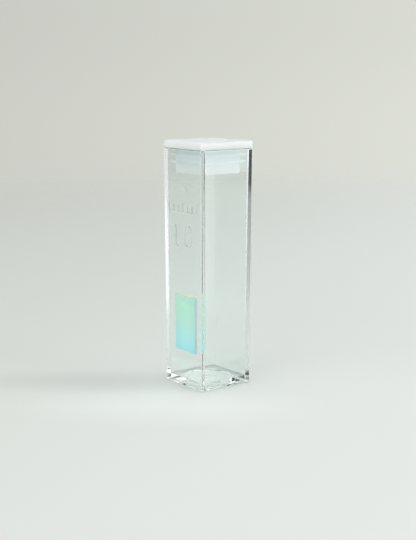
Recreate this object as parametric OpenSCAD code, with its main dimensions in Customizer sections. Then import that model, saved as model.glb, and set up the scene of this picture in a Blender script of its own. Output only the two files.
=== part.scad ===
// Square cuvette with a push-in cap and a sensor chip bonded inside one wall.
// Millimetres. +Z up, origin in the middle of the foot, -Y is the marked face.

/* [Body] */
// Outside width at the mouth
mouth_w = 12; // [11.2:0.1:15]
// Height from the foot to the rim
body_h = 45; // [36:0.5:60]
// Amount by which the outside narrows from the mouth to the foot
outer_draft = 0.4; // [0:0.05:0.6]
// Thickness of the walls at the mouth
wall = 1.0; // [0.8:0.05:1.3]
// Amount by which the inside narrows from the mouth to the foot
inner_draft = 0.1; // [0:0.05:0.4]
// Radius of the upright edges outside
edge_r = 0.35; // [0.2:0.05:0.6]
// Radius of the upright corners inside
inner_r = 0.3; // [0.2:0.05:0.6]
// Bevel round the rim and round the foot
rim_bevel = 0.2; // [0.1:0.02:0.3]
// Bevel round the bottom of the well and round its mouth
well_bevel = 0.15; // [0.1:0.05:0.3]

/* [Floor] */
// Thickness of the floor above the recess
floor_t = 1.0; // [0.8:0.1:3]
// Diameter of the round recess under the floor
recess_d = 8.6; // [6:0.1:9.4]
// Depth of the recess
recess_h = 0.4; // [0.3:0.05:0.8]
// Diameter of the trimmed gate mark in the recess
gate_d = 1.6; // [0.8:0.1:3]
// Height of the gate mark
gate_h = 0.2; // [0.1:0.05:0.3]

/* [Raised marks] */
// Height that the marks stand out from the wall
mark_h = 0.12; // [0.05:0.01:0.25]
// Width of the strokes
stroke = 0.34; // [0.2:0.02:0.5]
// Height of the arrow above the foot
arrow_z = 37.7; // [24:0.1:42]
// Distance from the arrow down to the scale
scale_drop = 4.2; // [3:0.1:5]
// Distance from the scale down to the middle of the figures
figure_drop = 4.6; // [3.5:0.1:7]
// Number of strokes on the scale
ticks = 7; // [3:2:7]
// Distance from one stroke of the scale to the next
tick_step = 1.4; // [0.8:0.05:1.5]
// Height of the plain figures
figure_h = 4.2; // [2:0.1:5.5]
// Width of the wide figure
figure_w = 2.2; // [1.4:0.1:3]

/* [Cap] */
// Outside width of the flange
flange_w = 12.2; // [11.4:0.1:16]
// Thickness of the flange
flange_t = 1.4; // [1:0.1:4]
// Plan radius of the flange's corners
flange_r = 0.7; // [0.5:0.1:2.5]
// Rounding round the top of the flange
flange_round = 0.4; // [0.2:0.05:0.5]
// Gap between the flange and the rim
seat_gap = 0.1; // [0.02:0.02:0.3]
// Diameter of the low round pad on top
pad_d = 7; // [4:0.2:9]
// Height of the pad at its edge
pad_h = 0.25; // [0.1:0.05:1]
// Further height of the pad's crown
pad_crown = 0.2; // [0.1:0.05:0.5]
// Clearance between the hollow plug and the walls
plug_gap = 0.9; // [0.5:0.05:1.2]
// Depth of the plug below the rim
plug_h = 4.6; // [4.4:0.1:9]
// Wall thickness of the plug
plug_wall = 0.8; // [0.6:0.1:1.2]
// Radius of the plug's upright edges
plug_r = 0.4; // [0.2:0.05:0.6]
// Clearance between the sealing lips and the walls
lip_gap = 0.06; // [0.04:0.01:0.15]
// Thickness of each sealing lip
lip_t = 0.35; // [0.25:0.05:0.5]
// Rise of each lip from the plug to its edge
lip_rise = 0.3; // [0.1:0.05:0.4]
// Depth of the first lip below the rim, at the plug
lip_z = 1.5; // [1.2:0.1:1.7]
// Distance from one lip to the next
lip_step = 1.3; // [1:0.05:1.6]

/* [Sensor chip] */
// Width of the chip
chip_w = 6.2; // [3:0.1:8]
// Height of the chip
chip_h = 10.8; // [6:0.1:20]
// Thickness of the chip
chip_t = 0.4; // [0.3:0.05:1]
// Height of the chip's lower edge above the foot
chip_z = 6.8; // [4:0.1:14]
// Thickness of the adhesive film behind the chip
film_t = 0.03; // [0.02:0.01:0.1]

/* [Hidden] */
$fn = 64;
// Cutters and blanks run past the faces they cut by this much.
SLACK = 1;
// The rounded edges sit this far inside the flat faces beside them.
STEP_IN = 0.002;
foot_w = mouth_w - outer_draft;
well_top_w = mouth_w - 2 * wall;
well_foot_w = well_top_w - inner_draft;
well_z = floor_t + recess_h;
outer_lean = atan(outer_draft / 2 / body_h);
inner_lean = atan(inner_draft / 2 / body_h);
plug_w = well_top_w - 2 * plug_gap;
hollow_w = plug_w - 2 * plug_wall;
cap_z = body_h + seat_gap;
figure_z = arrow_z - scale_drop - figure_drop;

// Outside and inside width of the body at the height z.
function outer_at(z) = foot_w + (mouth_w - foot_w) * z / body_h;
function well_at(z) = well_foot_w + (well_top_w - well_foot_w) * z / body_h;

// Right side of a drafted block's outline, from z0 to z1, with bevels b0 and b1 at its ends.
function flank(w0, w1, z0, z1, b0, b1) =
    let (lean = (w1 - w0) / 2 / (z1 - z0))
    concat(
        b0 > 0 ? [[w0 / 2 - b0, z0], [w0 / 2 + lean * b0, z0 + b0]] : [[w0 / 2, z0]],
        b1 > 0 ? [[w1 / 2 - lean * b1, z1 - b1], [w1 / 2 - b1, z1]] : [[w1 / 2, z1]]
    );

// A symmetric slab whose right side is the given outline. It is long across the other way.
module slab(side) {
    far_side = [for (i = [len(side) - 1 : -1 : 0]) [-side[i].x, side[i].y]];
    rotate([90, 0, 0])
        linear_extrude(2 * mouth_w + 2 * flange_w, center = true)
            polygon(concat(side, far_side));
}

// A square block with the same outline on all four sides.
module four_sided(side) {
    intersection() {
        slab(side);
        rotate([0, 0, 90]) slab(side);
    }
}

// A square drafted block with round upright edges of radius r.
module drafted_block(w0, w1, z0, z1, r, b0 = 0, b1 = 0) {
    lean = (w1 - w0) / 2 / (z1 - z0);
    low = z0 - SLACK;
    high = z1 + SLACK;
    low_w = w0 - 2 * r - 2 * lean * SLACK;
    high_w = w1 - 2 * r + 2 * lean * SLACK;
    tilt = atan(lean * sqrt(2));
    between = flank(low_w, high_w, low, high, 0, 0);
    intersection() {
        four_sided(flank(w0, w1, z0, z1, b0, b1));
        union() {
            slab(between);
            rotate([0, 0, 90]) slab(between);
            for (a = [45 : 90 : 315])
                rotate([0, 0, a])
                    translate([low_w / 2 * sqrt(2), 0, low])
                        rotate([0, tilt, 0])
                            cylinder(h = (high - low) / cos(tilt), r = r - STEP_IN);
        }
    }
}

// Puts a flat shape on the marked face at the height z, with its own +Z pointing out.
module on_marked_face(z) {
    translate([0, -outer_at(z) / 2, z])
        rotate([90 + outer_lean, 0, 0])
            children();
}

// Raises a flat shape from the marked face.
module raised(z) {
    on_marked_face(z)
        translate([0, 0, -wall / 2])
            linear_extrude(wall / 2 + mark_h)
                children();
}

// Arrow along the wall that shows which way the light passes.
module arrow_shape() {
    head = 4 * stroke;
    shaft = 3.2;
    translate([-(shaft + head) / 2, -stroke / 2]) square([shaft + stroke, stroke]);
    translate([(shaft - head) / 2, 0])
        polygon([[0, -head / 2], [head, 0], [0, head / 2]]);
}

// Scale with a long line and short upright strokes.
module scale_shape() {
    long = (ticks - 1) * tick_step + stroke;
    translate([-long / 2, -stroke]) square([long, stroke]);
    for (i = [0 : ticks - 1])
        translate([-long / 2 + i * tick_step, -stroke / 2])
            square([stroke, i % 3 == 0 ? 1.7 : 1.1]);
}

// Figure 1: an upright stroke with a short foot and a flag.
module one_shape() {
    translate([-stroke / 2, -figure_h / 2]) square([stroke, figure_h]);
    translate([-stroke * 2, -figure_h / 2]) square([stroke * 4, stroke]);
    translate([-stroke / 2, figure_h / 2]) rotate(215) square([stroke * 3, stroke]);
}

// Outline of the figure 0, filled.
module oval(w, h) {
    square([w, h - w], center = true);
    for (side = [-1, 1])
        translate([0, side * (h - w) / 2]) circle(d = w);
}

// Figure 0: a ring with straight sides.
module zero_shape() {
    difference() {
        oval(figure_w, figure_h);
        oval(figure_w - 2 * stroke, figure_h - 2 * stroke);
    }
}

module marks() {
    raised(arrow_z) arrow_shape();
    raised(arrow_z - scale_drop) scale_shape();
    raised(figure_z) translate([-figure_w, 0]) one_shape();
    raised(figure_z) translate([figure_w * 0.75, 0]) zero_shape();
}

// The well, open at the rim, with a bevelled floor and a bevelled mouth.
module well() {
    top = body_h + SLACK;
    spread = 2 * (well_bevel + SLACK);
    drafted_block(well_at(well_z), well_at(top), well_z, top, inner_r, well_bevel);
    four_sided(flank(well_top_w, well_top_w + spread, body_h - well_bevel, top, 0, 0));
}

module body() {
    color([0.86, 0.93, 0.91, 0.45])
        union() {
            difference() {
                drafted_block(foot_w, mouth_w, 0, body_h, edge_r, rim_bevel, rim_bevel);
                well();
                translate([0, 0, -SLACK]) cylinder(h = SLACK + recess_h, d = recess_d);
            }
            translate([0, 0, recess_h - gate_h])
                cylinder(h = gate_h + floor_t / 2, d = gate_d);
            marks();
        }
}

// One corner post of the flange, with a rounded top edge.
module flange_post() {
    cylinder(h = flange_t - flange_round, r = flange_r, $fn = 32);
    rotate_extrude($fn = 32)
        intersection() {
            translate([flange_r - flange_round, flange_t - flange_round])
                circle(r = flange_round, $fn = 32);
            square([flange_r, flange_t]);
        }
}

module flange() {
    reach = flange_w / 2 - flange_r;
    hull()
        for (x = [-reach, reach], y = [-reach, reach])
            translate([x, y, 0]) flange_post();
}

// Low round pad on the flange, a disc with a shallow crown.
module pad() {
    crown_r = (pad_d * pad_d / 4 + pad_crown * pad_crown) / (2 * pad_crown);
    cylinder(h = SLACK / 2 + pad_h, d = pad_d);
    intersection() {
        translate([0, 0, SLACK / 2 + pad_h + pad_crown - crown_r]) sphere(r = crown_r, $fn = 96);
        cylinder(h = SLACK / 2 + pad_h + pad_crown, d = pad_d);
    }
}

// A thin square lip that rises from the plug to the walls of the well, dished on top.
module lip(depth) {
    low = body_h - depth;
    edge = well_at(low) / 2 - lip_gap;
    root = plug_w / 2;
    difference() {
        intersection() {
            four_sided([[root, low], [edge, low + lip_rise], [edge, low + lip_rise + lip_t]]);
            drafted_block(2 * edge, 2 * edge, low - SLACK, low + SLACK, inner_r);
        }
        four_sided([[root, low + lip_t], [2 * edge - root, low + lip_t + 2 * lip_rise]]);
    }
}

// The hollow plug, open downwards, and its sealing lips.
module plug() {
    low = body_h - plug_h;
    drafted_block(plug_w, plug_w, low, cap_z + flange_t / 2, plug_r, plug_wall / 4);
    for (i = [0, 1]) lip(lip_z + i * lip_step);
}

module cap() {
    low = body_h - plug_h - SLACK;
    color([0.95, 0.96, 0.96])
        difference() {
            union() {
                translate([0, 0, cap_z]) flange();
                translate([0, 0, cap_z + flange_t - SLACK / 2]) pad();
                plug();
            }
            drafted_block(hollow_w, hollow_w, low, cap_z, plug_r);
        }
}

// The chip stands on the inside of the marked wall, on a thin film of adhesive.
module chip() {
    middle = chip_z + chip_h / 2;
    color([0.55, 0.88, 0.82])
        translate([0, -well_at(middle) / 2, middle])
            rotate([90 + inner_lean, 0, 0])
                translate([0, 0, -film_t - chip_t / 2])
                    cube([chip_w, chip_h, chip_t], center = true);
}

body();
cap();
chip();
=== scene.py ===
"""A square sample cuvette with a push-in cap and a sensor chip inside one wall."""
import math

import bmesh
import bpy
from mathutils import Matrix, Vector


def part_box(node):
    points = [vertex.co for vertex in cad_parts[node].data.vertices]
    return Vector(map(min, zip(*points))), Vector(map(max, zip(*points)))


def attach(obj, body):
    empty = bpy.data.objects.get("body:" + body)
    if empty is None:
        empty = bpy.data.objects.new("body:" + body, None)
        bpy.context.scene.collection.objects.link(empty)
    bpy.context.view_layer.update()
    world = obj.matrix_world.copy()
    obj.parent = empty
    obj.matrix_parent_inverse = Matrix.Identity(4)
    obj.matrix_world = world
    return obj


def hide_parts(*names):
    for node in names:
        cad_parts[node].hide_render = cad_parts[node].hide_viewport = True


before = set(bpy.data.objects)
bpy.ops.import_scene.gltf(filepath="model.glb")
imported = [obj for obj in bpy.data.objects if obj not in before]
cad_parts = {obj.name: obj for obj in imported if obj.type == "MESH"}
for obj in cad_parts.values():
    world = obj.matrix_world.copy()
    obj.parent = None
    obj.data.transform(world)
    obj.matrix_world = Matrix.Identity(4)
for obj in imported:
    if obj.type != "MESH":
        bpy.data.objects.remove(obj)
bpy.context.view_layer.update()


# ---- Body -------------------------------------------------------------------------------
# The clear square tube, one injection moulding in polystyrene. It narrows a little towards
# the foot so that it leaves the mould, and it is gated in the round recess under the foot.
# An arrow, a scale and the light path in millimetres are raised from one wall.

MM = 0.001
WALL = 1.0
DRAFT, WELL_DRAFT = 0.2, 0.05
body_low, body_high = (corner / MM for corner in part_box("body"))
BODY_HEIGHT = body_high.z
MOUTH_HALF = body_high.x
FOOT_HALF = MOUTH_HALF - DRAFT
WELL_TOP_HALF = MOUTH_HALF - WALL
WELL_FOOT_HALF = WELL_TOP_HALF - WELL_DRAFT
WELL_FLOOR = 1.4
RECESS_RADIUS, RECESS_DEPTH = 4.3, 0.4
GATE_RADIUS, GATE_DEPTH = 0.8, 0.2
TUBE_CORNER, WELL_CORNER = 0.35, 0.1
RIM_OUTSIDE, RIM_INSIDE = 0.2, 0.09
FOOT_ROUND, WELL_FLOOR_ROUND = 0.5, 0.09
LATHE_STEPS = 96
SAME_LEVEL = 1e-3
WELD = 1e-4


def edges_where(bm, wanted):
    return [e for e in bm.edges if wanted(e.verts[0].co, e.verts[1].co)]


def round_edges(bm, edges, radius, segments):
    """Rounds edges, as the polished corners of a mould do."""
    return bmesh.ops.bevel(bm, geom=edges, offset=radius, segments=segments, profile=0.5,
                           affect="EDGES", material=-1, clamp_overlap=True)


def drafted_box(bm, low_half, high_half, z_low, z_high, corner, segments):
    """A square block that is wider at one end, with round upright edges. Gives its faces."""
    before = set(bm.faces)
    made = bmesh.ops.create_cube(bm, size=2)["verts"]
    bmesh.ops.translate(bm, vec=(0, 0, 1), verts=made)
    bmesh.ops.scale(bm, vec=(1, 1, (z_high - z_low) / 2), verts=made)
    bmesh.ops.translate(bm, vec=(0, 0, z_low), verts=made)
    for half, level in ((low_half, z_low), (high_half, z_high)):
        ring = [v for v in made if abs(v.co.z - level) < WELD]
        bmesh.ops.scale(bm, vec=(half, half, 1), verts=ring)
    upright = list({e for v in made for e in v.link_edges
                    if abs(e.verts[0].co.z - e.verts[1].co.z) > (z_high - z_low) / 2})
    round_edges(bm, upright, corner, segments)
    return [f for f in bm.faces if f not in before]


def lathe(bm, outline):
    """Turns an outline of (radius, height) points round the upright axis."""
    points = [bm.verts.new((radius, 0, height)) for radius, height in outline]
    line = [bm.edges.new(pair) for pair in zip(points, points[1:])]
    bmesh.ops.spin(bm, geom=points + line, cent=(0, 0, 0), axis=(0, 0, 1), dvec=(0, 0, 0),
                   angle=2 * math.pi, steps=LATHE_STEPS, use_merge=True, use_duplicate=False)
    bmesh.ops.remove_doubles(bm, verts=bm.verts, dist=WELD)


def on_level(a, b, level):
    return abs(a.z - level) < SAME_LEVEL and abs(b.z - level) < SAME_LEVEL


def open_edges_at(bm, level):
    return [e for e in bm.edges if e.is_boundary
            and on_level(e.verts[0].co, e.verts[1].co, level)]


def open_ends(bm, *levels):
    """Takes away the flat faces at each level, so that the next shape can grow from there."""
    ends = [f for f in bm.faces
            if any(all(abs(v.co.z - level) < SAME_LEVEL for v in f.verts) for level in levels)]
    bmesh.ops.delete(bm, geom=ends, context="FACES_ONLY")


def close_flat(bm, level, facing):
    """Fills the flat ring between two open outlines on one level."""
    bmesh.ops.triangle_fill(bm, edges=open_edges_at(bm, level), use_beauty=True,
                            use_dissolve=False, normal=(0, 0, facing))


def flats_flat_rounds_smooth(bm):
    """Flat walls keep their own shading, and only the small rounded faces are smoothed."""
    square_on = 0.9993
    for face in bm.faces:
        face.smooth = max(abs(c) for c in face.normal) < square_on


def finished_object(name, bm):
    """Scales the millimetre mesh to metres and puts it in the scene, its seams closed."""
    bmesh.ops.remove_doubles(bm, verts=bm.verts, dist=WELD)
    bmesh.ops.recalc_face_normals(bm, faces=bm.faces)
    flats_flat_rounds_smooth(bm)
    bmesh.ops.scale(bm, vec=(MM, MM, MM), verts=bm.verts)
    mesh = bpy.data.meshes.new(name)
    bm.to_mesh(mesh)
    bm.free()
    made = bpy.data.objects.new(name, mesh)
    bpy.context.collection.objects.link(made)
    return made


def reach(*points):
    """How far the farthest of these points is from the middle of the tube, side to side."""
    return max(max(abs(p.x), abs(p.y)) for p in points)


tube = bmesh.new()
drafted_box(tube, FOOT_HALF, MOUTH_HALF, 0, BODY_HEIGHT, TUBE_CORNER, 10)
well = drafted_box(tube, WELL_FOOT_HALF, WELL_TOP_HALF, WELL_FLOOR, BODY_HEIGHT, WELL_CORNER, 6)
bmesh.ops.reverse_faces(tube, faces=well)
open_ends(tube, BODY_HEIGHT)
bmesh.ops.bridge_loops(tube, edges=open_edges_at(tube, BODY_HEIGHT))
bmesh.ops.recalc_face_normals(tube, faces=tube.faces)

rim_middle = WELL_TOP_HALF + 0.3
round_edges(tube, edges_where(tube, lambda a, b: on_level(a, b, BODY_HEIGHT)
            and min(reach(a), reach(b)) > rim_middle), RIM_OUTSIDE, 4)
round_edges(tube, edges_where(tube, lambda a, b: on_level(a, b, BODY_HEIGHT)
            and reach(a, b) < WELL_TOP_HALF + 0.01), RIM_INSIDE, 3)
round_edges(tube, edges_where(tube, lambda a, b: on_level(a, b, 0)), FOOT_ROUND, 8)
round_edges(tube, edges_where(tube, lambda a, b: on_level(a, b, WELL_FLOOR)),
            WELL_FLOOR_ROUND, 3)
open_ends(tube, 0)
gate_top = RECESS_DEPTH - GATE_DEPTH
lathe(tube, [(RECESS_RADIUS, 0), (RECESS_RADIUS, RECESS_DEPTH - 0.1),
             (RECESS_RADIUS - 0.03, RECESS_DEPTH - 0.03),
             (RECESS_RADIUS - 0.1, RECESS_DEPTH),
             (GATE_RADIUS + 0.05, RECESS_DEPTH),
             (GATE_RADIUS, RECESS_DEPTH - 0.05),
             (GATE_RADIUS - 0.05, gate_top),
             (GATE_RADIUS / 2, gate_top + 0.03),
             (0, gate_top + 0.05)])
close_flat(tube, 0, -1)
for level in (0.7, WELL_FLOOR + 0.4, BODY_HEIGHT - 0.5):
    # A cut near each end keeps the rounding there from bending the long walls' shading.
    bmesh.ops.bisect_plane(tube, geom=tube.verts[:] + tube.edges[:] + tube.faces[:],
                           plane_co=(0, 0, level), plane_no=(0, 0, 1), dist=1e-5)
cuvette_body = finished_object("cuvette_body", tube)


# The raised marks are cut in the mould, so their tops are soft and they grow out of the wall.
# How far they stand out comes from the CAD's box, which the highest of them, the arrow, meets.
MARK_STROKE, MARK_DEPTH, MARK_SOFT = 0.34, 0.42, 0.075
ARROW_LEVEL, ARROW_LENGTH, ARROW_HEAD = 37.7, 3.4, 1.36
SCALE_LEVEL, TICKS, TICK_STEP, LONG_TICK, SHORT_TICK = 33.5, 7, 1.4, 1.7, 1.1
FIGURE_LEVEL, FIGURE_HEIGHT, FIGURE_WIDTH = 28.9, 4.2, 2.2
BOX_MARGIN = 0.004
FACE_LEAN = math.atan(DRAFT / BODY_HEIGHT)
MARK_OUT = (-body_low.y - MOUTH_HALF + math.tan(FACE_LEAN) * (BODY_HEIGHT - ARROW_LEVEL)
            - BOX_MARGIN)
marks = bmesh.new()


def wall_at(level):
    """How far the outside of the tube is from its middle at a height."""
    return FOOT_HALF + DRAFT * level / BODY_HEIGHT


def raised_mark(bm, faces, across, level):
    """Gives flat faces the depth of a mark and a soft rim, and stands them on the wall."""
    sunk = {v for f in faces for v in f.verts}
    grown = bmesh.ops.extrude_face_region(bm, geom=faces)["geom"]
    proud = [g for g in grown if isinstance(g, bmesh.types.BMVert)]
    bmesh.ops.translate(bm, vec=(0, 0, MARK_OUT), verts=proud)
    bmesh.ops.translate(bm, vec=(0, 0, MARK_OUT - MARK_DEPTH), verts=list(sunk))
    rim = list({e for v in proud for e in v.link_edges
                if all(end in proud for end in e.verts) and e.calc_face_angle(0) > 0.5})
    soft = round_edges(bm, rim, MARK_SOFT, 4)["verts"]
    every = list({v for v in sunk | set(proud) | set(soft) if v.is_valid})
    place = (Matrix.Translation((across, -wall_at(level), level))
             @ Matrix.Rotation(math.radians(90) + FACE_LEAN, 4, "X"))
    bmesh.ops.transform(bm, matrix=place, verts=every)


def mark_from_outline(bm, outline, across, level):
    flat = bm.faces.new([bm.verts.new((x, y, 0)) for x, y in outline])
    raised_mark(bm, [flat], across, level)


half_stroke, half_arrow, half_head = MARK_STROKE / 2, ARROW_LENGTH / 2, ARROW_HEAD / 2
neck = half_arrow - ARROW_HEAD
mark_from_outline(marks, [(-half_arrow, -half_stroke), (neck, -half_stroke),
                          (neck, -half_head), (half_arrow, 0), (neck, half_head),
                          (neck, half_stroke), (-half_arrow, half_stroke)], 0, ARROW_LEVEL)

# The scale is one comb, with every third tick longer.
half_scale = (TICKS - 1) * TICK_STEP / 2
comb = [(-half_scale - half_stroke, -MARK_STROKE), (half_scale + half_stroke, -MARK_STROKE)]
for count in reversed(range(TICKS)):
    middle = count * TICK_STEP - half_scale
    length = LONG_TICK if count % 3 == 0 else SHORT_TICK
    comb += [(middle + half_stroke, 0), (middle + half_stroke, length),
             (middle - half_stroke, length), (middle - half_stroke, 0)]
del comb[2], comb[-1]
mark_from_outline(marks, comb, 0, SCALE_LEVEL)

# The figures 1, with a foot and a flag, and 0, an oval ring.
foot, top, half_serif = -FIGURE_HEIGHT / 2, FIGURE_HEIGHT / 2, 2 * MARK_STROKE
mark_from_outline(marks, [(-half_serif, foot), (half_serif, foot),
                          (half_serif, foot + MARK_STROKE),
                          (half_stroke, foot + MARK_STROKE), (half_stroke, top),
                          (-half_stroke, top), (-half_stroke - 0.75, top - 0.55),
                          (-half_stroke - 0.60, top - 0.85), (-half_stroke, top - 0.42),
                          (-half_stroke, foot + MARK_STROKE),
                          (-half_serif, foot + MARK_STROKE)], -FIGURE_WIDTH, FIGURE_LEVEL)

before = set(marks.faces)
oval = bmesh.ops.create_circle(marks, cap_ends=True, segments=40,
                               radius=FIGURE_WIDTH / 2)["verts"]
for side in (-1, 1):
    bmesh.ops.translate(marks, vec=(0, side * (FIGURE_HEIGHT - FIGURE_WIDTH) / 2, 0),
                        verts=[v for v in oval if v.co.y * side > 1e-5])
disc = [f for f in marks.faces if f not in before]
ring = bmesh.ops.inset_region(marks, faces=disc, thickness=MARK_STROKE, use_boundary=True,
                              use_even_offset=True)["faces"]
bmesh.ops.delete(marks, geom=disc, context="FACES_ONLY")
raised_mark(marks, ring, FIGURE_WIDTH * 0.75, FIGURE_LEVEL)

cutter = finished_object("marks", marks)
join = cuvette_body.modifiers.new("marks", "BOOLEAN")
join.operation, join.solver, join.object = "UNION", "EXACT", cutter
joined = bpy.data.meshes.new_from_object(
    cuvette_body.evaluated_get(bpy.context.evaluated_depsgraph_get()))
cuvette_body.modifiers.clear()
cuvette_body.data = joined
bpy.data.objects.remove(cutter)
cuvette_body.data.name = "cuvette_body"


# How every finish is put together, and the fine marks of use and moulding that the clear
# plastic, the cap and the chip share.
def node(tree, kind, place, inputs=None, **values):
    """Adds a node, with its settings in values and what goes into it in inputs."""
    made = tree.nodes.new(kind)
    made.location = place
    for key, value in values.items():
        setattr(made, key, value)
    feed(tree, made, inputs or {})
    return made


def feed(tree, made, inputs):
    """Gives inputs of a node a fixed value, or links them to another node's output."""
    for key, value in inputs.items():
        if isinstance(value, bpy.types.NodeSocket):
            tree.links.new(value, made.inputs[key])
        else:
            made.inputs[key].default_value = value


def reckon(tree, place, operation, *terms):
    """Works out one number from others."""
    return node(tree, "ShaderNodeMath", place, dict(enumerate(terms)),
                operation=operation).outputs[0]


def along(tree, place, point, direction):
    """How far a point lies along a direction."""
    return node(tree, "ShaderNodeVectorMath", place, {0: point, 1: tuple(direction)},
                operation="DOT_PRODUCT").outputs["Value"]


def distance_out(tree, place, point):
    return node(tree, "ShaderNodeVectorMath", place, {0: point},
                operation="LENGTH").outputs["Value"]


def scaled(tree, place, colour, share):
    """Makes a colour brighter or darker."""
    return node(tree, "ShaderNodeVectorMath", place, {0: colour, "Scale": share},
                operation="SCALE").outputs["Vector"]


def split(tree, place, point):
    return node(tree, "ShaderNodeSeparateXYZ", place, {"Vector": point}).outputs


def ease(tree, place, value, start, end, low=0.0, high=1.0, curve="SMOOTHSTEP"):
    """Takes a value that goes from start to end, and gives one that goes from low to high."""
    return node(tree, "ShaderNodeMapRange", place,
                {"Value": value, "From Min": start, "From Max": end,
                 "To Min": low, "To Max": high}, interpolation_type=curve).outputs["Result"]


def ramp(tree, place, value, stops):
    """Turns a value into a colour, or into a grey where a stop has only a level."""
    made = node(tree, "ShaderNodeValToRGB", place, {"Fac": value})
    elements = made.color_ramp.elements
    coloured = [(position, (*stop, 1) if isinstance(stop, tuple) else (stop, stop, stop, 1))
                for position, stop in stops]
    elements[0].position, elements[0].color = coloured[0]
    elements[1].position, elements[1].color = coloured[-1]
    for position, colour in coloured[1:-1]:
        elements.new(position).color = colour
    return made.outputs["Color"]


def noise(tree, place, point, scale, **inputs):
    made = node(tree, "ShaderNodeTexNoise", place, {"Vector": point, "Scale": scale})
    feed(tree, made, {key.capitalize(): value for key, value in inputs.items()})
    return made.outputs["Fac"]


def mix(tree, place, share, first, second):
    """Goes from the first colour to the second."""
    return node(tree, "ShaderNodeMix", place, {"Factor": share, "A": first, "B": second},
                data_type="RGBA").outputs["Result"]


def handling_marks_group():
    """Hairline scratches, a ripple from the mould and the haze of fingers."""
    tree = bpy.data.node_groups.new("handling_marks", "ShaderNodeTree")
    for name in ("Scratch Amount", "Ripple Amount", "Haze", "Grain Size"):
        tree.interface.new_socket(name, in_out="INPUT", socket_type="NodeSocketFloat")
    for name in ("Height", "Roughness"):
        tree.interface.new_socket(name, in_out="OUTPUT", socket_type="NodeSocketFloat")
    asked = node(tree, "NodeGroupInput", (-1200, 0)).outputs
    place = node(tree, "ShaderNodeTexCoord", (-1200, 400)).outputs["Object"]

    stretched = node(tree, "ShaderNodeMapping", (-1000, 400), {
        "Vector": place, "Rotation": (0.5, 0.35, 0.2), "Scale": (260, 300, 26)})
    streaks = node(tree, "ShaderNodeTexVoronoi", (-800, 400), {
        "Vector": stretched.outputs["Vector"], "Scale": 1.0}, feature="DISTANCE_TO_EDGE")
    hair = ease(tree, (-600, 400), streaks.outputs["Distance"], 0.0, 0.02, 1.0, 0.0)
    where = noise(tree, (-800, 150), place, 190, detail=2)
    some = ease(tree, (-600, 150), where, 0.58, 0.72, curve="LINEAR")
    scratch = reckon(tree, (-400, 300), "MULTIPLY", hair, some)
    cut = reckon(tree, (-200, 300), "MULTIPLY", scratch, asked["Scratch Amount"])

    ripple = noise(tree, (-800, -100), place, asked["Grain Size"], detail=1.5)
    swell = reckon(tree, (-500, -100), "MULTIPLY", ripple, asked["Ripple Amount"])
    height = reckon(tree, (100, 200), "SUBTRACT", swell, cut)

    smear = noise(tree, (-800, -400), place, 130, detail=5, distortion=0.8)
    finger = ease(tree, (-600, -400), smear, 0.45, 0.75)
    haze = reckon(tree, (-200, -350), "MULTIPLY", finger, asked["Haze"])
    dull = reckon(tree, (100, -250), "MULTIPLY_ADD", cut, 0.25, haze)
    node(tree, "NodeGroupOutput", (700, 0), {"Height": height, "Roughness": dull})
    return tree


handling_marks = handling_marks_group()


def new_finish(name, roughness, wear, bump):
    """A new material with its wear. Gives its tree, shader and texture place with it."""
    finish = bpy.data.materials.new(name)
    finish.use_nodes = True
    tree = finish.node_tree
    shader = tree.nodes["Principled BSDF"]
    worn = node(tree, "ShaderNodeGroup", (-700, -200), node_tree=handling_marks)
    feed(tree, worn, wear)
    uneven = node(tree, "ShaderNodeBump", (-300, -350),
                  {"Height": worn.outputs["Height"], **bump})
    dull = reckon(tree, (-450, -80), "ADD", worn.outputs["Roughness"], roughness)
    feed(tree, shader, {"Normal": uneven.outputs["Normal"], "Roughness": dull})
    place = node(tree, "ShaderNodeTexCoord", (-1100, 200)).outputs["Object"]
    return finish, tree, shader, place


def clear_moulding(name, roughness):
    """Clear polystyrene: polished where the mould is, satin on the tops of the marks."""
    finish, tree, shader, place = new_finish(
        name, roughness,
        {"Scratch Amount": 0.05, "Ripple Amount": 0.04, "Haze": 0.02, "Grain Size": 110},
        {"Strength": 0.05, "Distance": 0.00003})
    tint = ramp(tree, (-450, 300), noise(tree, (-700, 300), place, 60),
                [(0.35, (0.957, 0.992, 0.983)), (0.7, (0.968, 0.996, 0.989))])
    feed(tree, shader, {"Transmission Weight": 1.0, "IOR": 1.58, "Base Color": tint})
    return finish


cuvette_body.data.materials.clear()
cuvette_body.data.materials.append(clear_moulding("clear_polystyrene", 0.0))
cuvette_body.data.materials.append(clear_moulding("satin_polystyrene", 0.16))
for face in cuvette_body.data.polygons:
    stands_out = -face.center.y / MM - wall_at(face.center.z / MM)
    face.material_index = 1 if stands_out > 0.01 else 0

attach(cuvette_body, "cuvette")
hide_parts("body")


# ---- Cap --------------------------------------------------------------------------------
# One moulding in soft white polyethylene: a square flange with a low round pad, and under it
# a hollow square plug with two thin lips that seal against the walls of the well. It is
# pushed in by hand and holds by its lips alone.

FLANGE_GAP, FLANGE_THICK, FLANGE_CORNER = 0.1, 1.4, 0.7
FLANGE_TOP_ROUND, FLANGE_BASE_ROUND = 0.4, 0.1
PAD_RADIUS, PAD_SIDE, BUTTON_HIGH = 3.5, 0.22, 0.09
PLUG_HALF, HOLLOW_HALF = 4.1, 3.3
LIP_REACH = WELL_TOP_HALF - 0.07
LIP_LEVELS = (BODY_HEIGHT - 1.5, BODY_HEIGHT - 2.8)
cap_low, cap_high = (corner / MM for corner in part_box("cap"))
flange_half, plug_end = cap_high.x, cap_low.z
flange_base = BODY_HEIGHT + FLANGE_GAP
flange_top = flange_base + FLANGE_THICK

lid = bmesh.new()
drafted_box(lid, flange_half, flange_half, flange_base, flange_top, FLANGE_CORNER, 10)
round_edges(lid, edges_where(lid, lambda a, b: on_level(a, b, flange_top)),
            FLANGE_TOP_ROUND, 6)
round_edges(lid, edges_where(lid, lambda a, b: on_level(a, b, flange_base)),
            FLANGE_BASE_ROUND, 3)
open_ends(lid, flange_top, flange_base)


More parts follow.
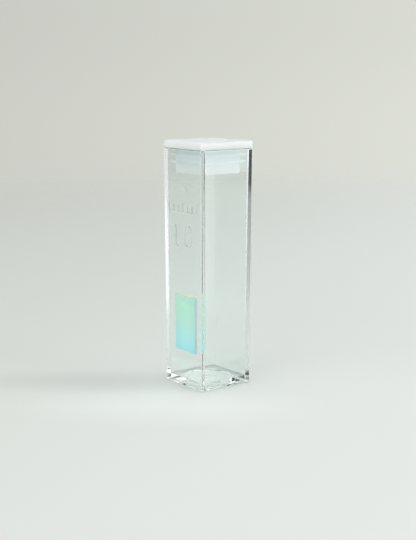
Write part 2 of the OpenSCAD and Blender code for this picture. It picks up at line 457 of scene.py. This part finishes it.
def next_ring(bm, rim, last, new):
    """Grows a ring of faces from an open rim, to a new half width and level."""
    grown = bmesh.ops.extrude_edge_only(bm, edges=rim)["geom"]
    points = [g for g in grown if isinstance(g, bmesh.types.BMVert)]
    factor = new[0] / last[0]
    bmesh.ops.scale(bm, vec=(factor, factor, 1), verts=points)
    bmesh.ops.translate(bm, vec=(0, 0, new[1] - last[1]), verts=points)
    return [g for g in grown if isinstance(g, bmesh.types.BMEdge)]


# The plug grows down from the flange, ring by ring, over both lips and up into the hollow.
rings = [(flange_half - FLANGE_BASE_ROUND, flange_base),
         (PLUG_HALF + 0.15, flange_base), (PLUG_HALF + 0.04, flange_base - 0.05),
         (PLUG_HALF, flange_base - 0.15)]
for low in LIP_LEVELS:
    rings += [(PLUG_HALF, low + 0.45), (PLUG_HALF + 0.06, low + 0.37),
              (LIP_REACH - 0.12, low + 0.56), (LIP_REACH - 0.03, low + 0.62),
              (LIP_REACH, low + 0.54), (LIP_REACH, low + 0.36),
              (LIP_REACH - 0.03, low + 0.30), (LIP_REACH - 0.12, low + 0.24),
              (PLUG_HALF + 0.05, low), (PLUG_HALF, low - 0.08)]
rings += [(PLUG_HALF, plug_end + 0.2), (PLUG_HALF - 0.06, plug_end + 0.06),
          (PLUG_HALF - 0.2, plug_end), (HOLLOW_HALF + 0.1, plug_end),
          (HOLLOW_HALF + 0.02, plug_end + 0.03), (HOLLOW_HALF, plug_end + 0.1),
          (HOLLOW_HALF - 0.03, flange_base - 0.2), (HOLLOW_HALF - 0.1, flange_base - 0.05),
          (HOLLOW_HALF - 0.25, flange_base)]
rim = open_edges_at(lid, flange_base)
for last, new in zip(rings, rings[1:]):
    rim = next_ring(lid, rim, last, new)
bmesh.ops.contextual_create(lid, geom=rim)

# The pad is slightly crowned, with a small raised button in its middle.
pad_high = cap_high.z
crown_rise = pad_high - BUTTON_HIGH - flange_top - PAD_SIDE
outline = [(PAD_RADIUS, flange_top), (PAD_RADIUS, flange_top + 0.14),
           (PAD_RADIUS - 0.03, flange_top + 0.19), (PAD_RADIUS - 0.09, flange_top + PAD_SIDE)]
for share in (0.93, 0.85, 0.72, 0.58, 0.44, 0.32, 0.24):
    outline.append((PAD_RADIUS * share,
                    flange_top + PAD_SIDE + crown_rise * (1 - share * share)))
outline += [(0.62, pad_high - BUTTON_HIGH), (0.50, pad_high - 0.07), (0.44, pad_high - 0.03),
            (0.36, pad_high), (0, pad_high)]
lathe(lid, outline)
close_flat(lid, flange_top, 1)
cap_moulding = finished_object("push_in_cap", lid)

white_plastic, tree, shader, place = new_finish(
    "white_polyethylene", 0.30,
    {"Scratch Amount": 0.25, "Ripple Amount": 0.5, "Haze": 0.25, "Grain Size": 2600},
    {"Strength": 0.25, "Distance": 0.00004})
milk = ramp(tree, (-650, 350), noise(tree, (-900, 350), place, 210, detail=3),
            [(0.3, (0.880, 0.952, 0.966)), (0.72, (0.905, 0.965, 0.978))])
feed(tree, shader, {"Subsurface Weight": 1.0, "Subsurface Radius": (0.9, 1.0, 1.0),
                    "Subsurface Scale": 0.004, "IOR": 1.51, "Base Color": milk})
cap_moulding.data.materials.append(white_plastic)

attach(cap_moulding, "cap")
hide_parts("cap")


# ---- Sensor chip ------------------------------------------------------------------------
# A thin glass slip with a fine optical grating and a coating coloured green to blue, which is
# also given a faint painted glow in the same colour. It is bonded with clear adhesive to the
# inside of the marked wall, without a layer of air.

CHIP_THICK, CHIP_EDGE, BOND, LEAN_ROOM = 0.4, 0.035, 0.04, 0.01
chip_low, chip_high = (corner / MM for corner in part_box("chip"))
chip_half = chip_high.x
chip_middle = (chip_low + chip_high) / 2
chip_height = chip_high.z - chip_low.z
well_lean = math.atan(WELL_DRAFT / BODY_HEIGHT)

slip = bmesh.new()
block = bmesh.ops.create_cube(slip, size=1)["verts"]
bmesh.ops.scale(slip, vec=(2 * chip_half, CHIP_THICK + BOND, chip_height - LEAN_ROOM),
                verts=block)
round_edges(slip, slip.edges[:], CHIP_EDGE, 2)
bmesh.ops.rotate(slip, cent=(0, 0, 0), matrix=Matrix.Rotation(well_lean, 3, "X"),
                 verts=slip.verts)
bmesh.ops.translate(slip, vec=(0, chip_middle.y - BOND / 2, chip_middle.z), verts=slip.verts)
sensor_chip = finished_object("sensor_chip", slip)

coated_glass, tree, shader, place = new_finish(
    "coated_glass", 0.22,
    {"Scratch Amount": 0.08, "Ripple Amount": 0.1, "Haze": 0.12, "Grain Size": 900},
    {"Strength": 0.12, "Distance": 0.00003})
centred = node(tree, "ShaderNodeMapping", (-1500, 500), {
    "Vector": place, "Location": tuple(-chip_middle * MM)})
sized = node(tree, "ShaderNodeVectorMath", (-1300, 500), {
    0: centred.outputs["Vector"], 1: (1 / (chip_half * MM), 0, 2 / (chip_height * MM))},
    operation="MULTIPLY")
axes = split(tree, (-1100, 500), sized.outputs["Vector"])

# The colour runs up the chip, a little unevenly, and its narrow side shows the bare glass.
drift = noise(tree, (-1300, 800), place, 260, detail=3)
height = ease(tree, (-900, 600), axes["Z"], -1, 1, 0, 0.945, curve="LINEAR")
uneven = reckon(tree, (-700, 700), "MULTIPLY_ADD", drift, 0.10, height)
sheen = ramp(tree, (-500, 600), uneven, [
    (0.04, (0.44, 0.88, 0.95)), (0.18, (0.50, 0.89, 0.93)), (0.55, (0.60, 0.86, 0.77)),
    (0.80, (0.585, 0.92, 0.755)), (0.965, (0.65, 0.91, 0.84)), (1.0, (0.80, 0.92, 0.62))])
at_side = ease(tree, (-700, 350), axes["X"], 0.97, 1.0)
coating_with_painted_glow = mix(tree, (-250, 500), at_side, sheen, (0.36, 0.52, 0.57, 1))
# The chip glows faintly in its own colour: painted light, though it is no lamp.
feed(tree, shader, {"Base Color": coating_with_painted_glow, "Emission Color": coating_with_painted_glow,
                    "Emission Strength": 0.14, "Coat Weight": 0.6, "Coat Roughness": 0.06})
sensor_chip.data.materials.append(coated_glass)

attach(sensor_chip, "cuvette")
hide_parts("chip")


# ---- Stage ------------------------------------------------------------------------------
# A sheet of pale paper that fades into the room, with painted light, shade and glow on it, a
# dark card on the left that edges the clear walls and lies on the paper as a painted shade,
# two soft lights, one on the right and one in front, and pale air all round.

LOOK_AZIMUTH, LOOK_ELEVATION = math.radians(52.1), math.radians(10.57)
LOOK_AT = Vector((0, 0, 0.022))
LOOK_DROP, EYE_DISTANCE = 0.00015, 0.1966
SENSOR, LENS = 36, 68.71
toward = Vector((math.sin(LOOK_AZIMUTH), -math.cos(LOOK_AZIMUTH), 0))
right = Vector((-toward.y, toward.x, 0))
back = toward * math.cos(LOOK_ELEVATION) + Vector((0, 0, math.sin(LOOK_ELEVATION)))
up = back.cross(right)

eye = bpy.data.objects.new("camera", bpy.data.cameras.new("camera"))
bpy.context.collection.objects.link(eye)
eye.data.sensor_width = SENSOR
eye.data.lens = LENS
eye.data.clip_start, eye.data.clip_end = 0.01, 20
eye.location = LOOK_AT - up * LOOK_DROP + back * EYE_DISTANCE
eye.rotation_mode = "QUATERNION"
eye.rotation_quaternion = (-back).to_track_quat("-Z", "Y")
bpy.context.scene.camera = eye


def stage_object(name, bm):
    mesh = bpy.data.meshes.new(name)
    bm.to_mesh(mesh)
    bm.free()
    made = bpy.data.objects.new(name, mesh)
    bpy.context.collection.objects.link(made)
    return made


def stage_finish(name):
    finish = bpy.data.materials.new(name)
    finish.use_nodes = True
    tree = finish.node_tree
    place = node(tree, "ShaderNodeTexCoord", (-1200, 0)).outputs["Object"]
    return finish, tree, tree.nodes["Principled BSDF"], place


PAPER_RADIUS = 3
FADE_NEAR, FADE_FAR = 0.14, 0.58
side_way = Vector((0.78, 0.63, 0)).normalized()
table_top = bmesh.new()
bmesh.ops.create_circle(table_top, cap_ends=True, segments=128, radius=PAPER_RADIUS)
bmesh.ops.recalc_face_normals(table_top, faces=table_top.faces)
floor = stage_object("floor", table_top)

# The paper's colour is painted darker to the left and brighter to the right: painted shade and
# painted light, as if light reached it from the right, over a faint random mottle.
paper, tree, shader, place = stage_finish("pale_paper")
mottle = noise(tree, (-900, 200), place, 9)
aside = along(tree, (-1100, 450), place, side_way)
spread = reckon(tree, (-900, 450), "ADD", aside, 0.5)
cloudy = reckon(tree, (-700, 350), "MULTIPLY_ADD", mottle, 0.015, spread)
paper_tone_and_painted_light = ramp(tree, (-500, 350), cloudy, [
    (0.10, (0.785, 0.800, 0.740)), (0.345, (0.805, 0.815, 0.755)),
    (0.456, (0.855, 0.878, 0.823)), (0.49, (0.895, 0.914, 0.873)),
    (0.51, (0.920, 0.938, 0.906)), (0.54, (0.945, 0.961, 0.935)),
    (0.58, (0.98, 0.99, 0.985))])
# Painted light: the paper is a little brighter on the side towards the camera.
forward = along(tree, (-900, 700), place, toward)
nearer = ease(tree, (-700, 700), forward, -0.03, 0.03, 1.0, 1.03)


def painted_light_patch(tree, place, level, centre, wide, deep, change):
    """A painted shadow or painted pool of light on the paper, in a soft oval, standing in for
    the light that the clear walls take from the paper or throw on it.
    """
    moved = node(tree, "ShaderNodeMapping", (-900, 1000), {
        "Vector": place, "Location": tuple(right * centre[0] + toward * centre[1]),
        "Rotation": (0, 0, math.atan2(right.y, right.x)), "Scale": (wide, deep, 1)},
        vector_type="TEXTURE")
    far_out = distance_out(tree, (-700, 1000), moved.outputs["Vector"])
    patch = ease(tree, (-500, 1000), far_out, 0, 1, 1 + change, 1)
    return reckon(tree, (-350, 900), "MULTIPLY", level, patch)


# A painted shadow to the left of the cuvette, then a painted pool of light in front of it, both
# multiplied into the paper's colour.
painted_shadow = painted_light_patch(tree, place, nearer, (-0.022, 0.0005), 0.040, 0.010, -0.11)
level = painted_light_patch(tree, place, painted_shadow, (-0.007, 0.016), 0.034, 0.013, 0.10)
# A painted glow: the paper gives off light, faintly on the left and more on the right, though
# it is no lamp.
painted_glow = ease(tree, (-500, 100), aside, 0.046, 0.085, 0.04, 1)
fade = ease(tree, (-650, -100), distance_out(tree, (-900, -100), place),
            FADE_NEAR, FADE_FAR, 1, 0, curve="SMOOTHERSTEP")
tooth = node(tree, "ShaderNodeBump", (-400, -350), {
    "Height": noise(tree, (-900, -350), place, 1500), "Strength": 0.04, "Distance": 0.0001})
feed(tree, shader, {
    "Base Color": scaled(tree, (-250, 400), paper_tone_and_painted_light, level), "Roughness": 0.7,
    "Specular IOR Level": 0.25, "Emission Color": painted_glow, "Emission Strength": 0.24,
    "Alpha": fade, "Normal": tooth.outputs["Normal"]})
floor.data.materials.append(paper)

# The dark card lies on the paper and stands up at its far end. It is a wedge that widens
# away from the cuvette, and it fades in from its near end and from its sides. Its lying part
# is a painted shade that deepens away from the cuvette; its upright end is a dark card that
# edges the clear walls.
CARD_NEAR, CARD_FAR, CARD_TOP, CARD_WIDE = 0.05, 0.50, 0.23, 0.30
CARD_ABOVE_PAPER = 0.0004
WEDGE_START, WEDGE_SPREAD = 0.012, 0.26
sheet = bmesh.new()
fold = [sheet.verts.new(point) for point in ((0, -CARD_NEAR, CARD_ABOVE_PAPER),
                                             (0, -CARD_FAR, CARD_ABOVE_PAPER),
                                             (0, -CARD_FAR, CARD_TOP))]
lines = [sheet.edges.new(pair) for pair in zip(fold, fold[1:])]
wide = bmesh.ops.extrude_edge_only(sheet, edges=lines)["geom"]
bmesh.ops.translate(sheet, vec=(CARD_WIDE, 0, 0),
                    verts=[g for g in wide if isinstance(g, bmesh.types.BMVert)])
bmesh.ops.translate(sheet, vec=(-CARD_WIDE / 2, 0, 0), verts=sheet.verts)
dark_card_and_painted_shade = stage_object("dark_card_and_painted_shade", sheet)
dark_card_and_painted_shade.rotation_euler = (0, 0, math.atan2(side_way.y, side_way.x) - math.radians(90))

felt_and_painted_shade, tree, shader, place = stage_finish("black_felt_and_painted_shade")
axes = split(tree, (-1000, 0), place)
away = ease(tree, (-800, 100), axes["Y"], 0, -CARD_FAR, curve="LINEAR")
# How dark the card is along its length: on the lying part a painted shade that deepens towards
# the upright end.
painted_shade_depth = ramp(tree, (-600, 100), away, [
    (0.12, 0), (0.18, 0.08), (0.30, 0.16), (0.44, 0.21), (0.57, 0.30), (0.70, 0.44),
    (0.80, 0.68), (0.92, 1)])
off_centre = reckon(tree, (-800, -150), "ABSOLUTE", axes["X"])
wedge = reckon(tree, (-700, -250), "MULTIPLY_ADD", axes["Y"], -WEDGE_SPREAD, WEDGE_START)
inside_wedge = reckon(tree, (-550, -150), "DIVIDE", off_centre, wedge)
edge_fade = ease(tree, (-400, -150), inside_wedge, 0.7, 1, 1, 0)
feed(tree, shader, {
    "Base Color": (0.012, 0.016, 0.016, 1), "Roughness": 1.0, "Specular IOR Level": 0.0,
    "Alpha": reckon(tree, (-300, 0), "MULTIPLY", painted_shade_depth, edge_fade)})
dark_card_and_painted_shade.data.materials.append(felt_and_painted_shade)

# The soft lights: how far right of the cuvette, nearer and above it, their side and power.
AIMED_AT = Vector((0, 0, 0.02))
for name, across, nearer_by, high, side, power in (
        ("right_softbox", 0.50, 0.11, 0.26, 0.40, 0.55),
        ("front_softbox", -0.35, 0.42, 0.24, 0.50, 0.85)):
    softbox = bpy.data.lights.new(name, "AREA")
    softbox.shape, softbox.size = "SQUARE", side
    softbox.energy = power
    softbox.color = (0.98, 1.0, 0.995)
    box_light = bpy.data.objects.new(name, softbox)
    bpy.context.collection.objects.link(box_light)
    box_light.location = right * across + toward * nearer_by + Vector((0, 0, high))
    box_light.rotation_mode = "QUATERNION"
    box_light.rotation_quaternion = (AIMED_AT - box_light.location).to_track_quat("-Z", "Y")

# The room: greyer air low down ahead, brighter to the right, and pale ground on the other
# sides. Above it is a bright band that grows dim higher up, with a soft light overhead.
world = bpy.data.worlds.new("room")
bpy.context.scene.world = world
world.use_nodes = True
tree = world.node_tree
place = node(tree, "ShaderNodeTexCoord", (-1400, 0)).outputs["Generated"]
axes = split(tree, (-1100, -100), place)
aside = along(tree, (-1100, 200), place, right)
tilt = reckon(tree, (-850, 200), "MULTIPLY_ADD", aside, 0.42, 1.0)
haze = ease(tree, (-850, 450), axes["Z"], 0.06, -0.05, 1.0, 1.045)
low_air = scaled(tree, (-600, 200), (0.642, 0.656, 0.604),
                 reckon(tree, (-700, 350), "MULTIPLY", tilt, haze))
ahead = along(tree, (-1100, -300), place, -toward)
all_round = ease(tree, (-850, -550), ahead, 0.93, 0.78)
near_ground = mix(tree, (-450, 250), all_round, low_air, (0.83, 0.86, 0.85, 1))
dim = ramp(tree, (-850, -350), axes["Z"], [
    (0.45, 1), (0.62, 0.44), (0.85, 0.18), (0.93, 0.18), (0.965, 0.5)])
high_air = scaled(tree, (-600, -350), (1.36, 1.40, 1.40), dim)
rise = ease(tree, (-850, -100), axes["Z"], 0.16, 0.40)
air = mix(tree, (-350, 50), rise, near_ground, high_air)
feed(tree, tree.nodes["Background"], {"Color": air})

# Light passes many clear walls, and is scattered many times inside the cap.
scene = bpy.context.scene
scene.view_settings.view_transform = "Standard"
scene.cycles.max_bounces = 28
scene.cycles.glossy_bounces = 22
scene.cycles.diffuse_bounces = 14
scene.cycles.transmission_bounces = 28
scene.cycles.transparent_max_bounces = 16
scene.cycles.blur_glossy = 0.1
